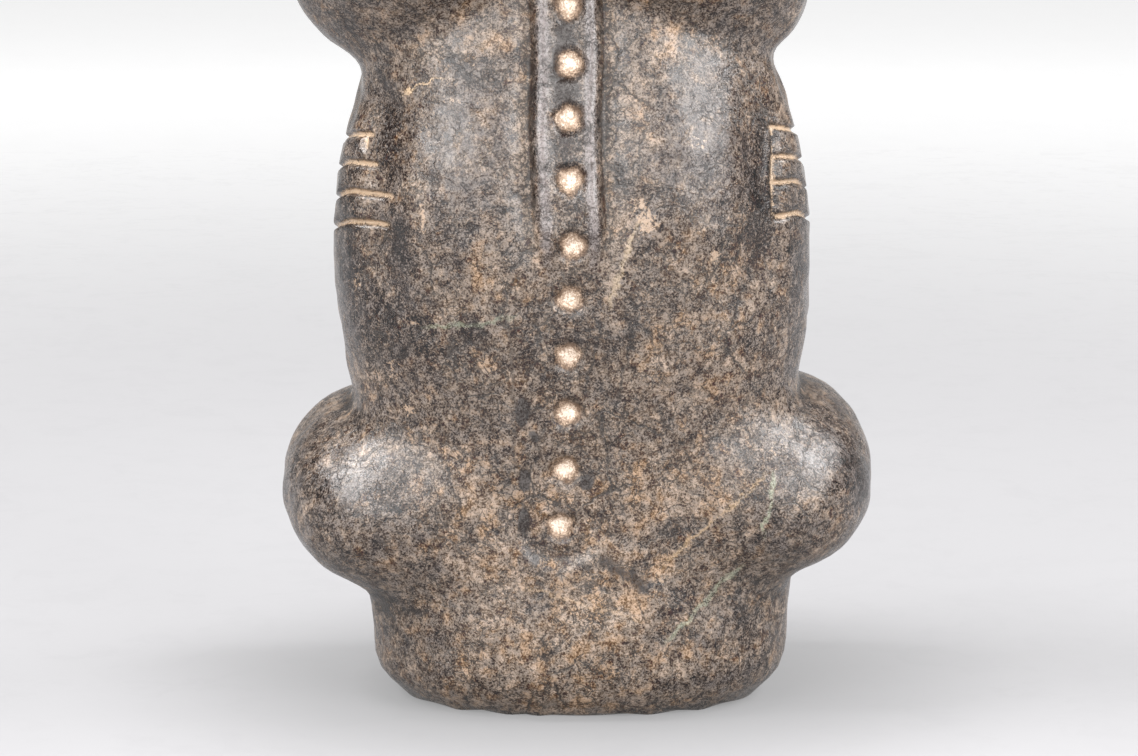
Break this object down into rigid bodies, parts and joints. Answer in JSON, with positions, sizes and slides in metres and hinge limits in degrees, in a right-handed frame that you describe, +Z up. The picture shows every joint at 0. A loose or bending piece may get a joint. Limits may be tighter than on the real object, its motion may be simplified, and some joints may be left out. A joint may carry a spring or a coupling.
{
  "type": "zemi figure",
  "caption": "Squatting spirit figure carved from dark stone: big head, pitted spine ridge down the back, banded upper arms, knees drawn up at the sides, flat base.",
  "frame": {"origin": "On the flat underside, at the foot of the figure's upright middle axis", "axes": "+Z is up, the face looks along -Y, and the pitted spine is at +Y"},
  "size_m": [0.1586, 0.1146, 0.2501],
  "materials": {
    "dark_stone": "hand-polished dark stone with a mottled tan patina"
  },
  "bodies": {
    "root": {"zemi_figure": "dark_stone"}
  },
  "joints": []
}
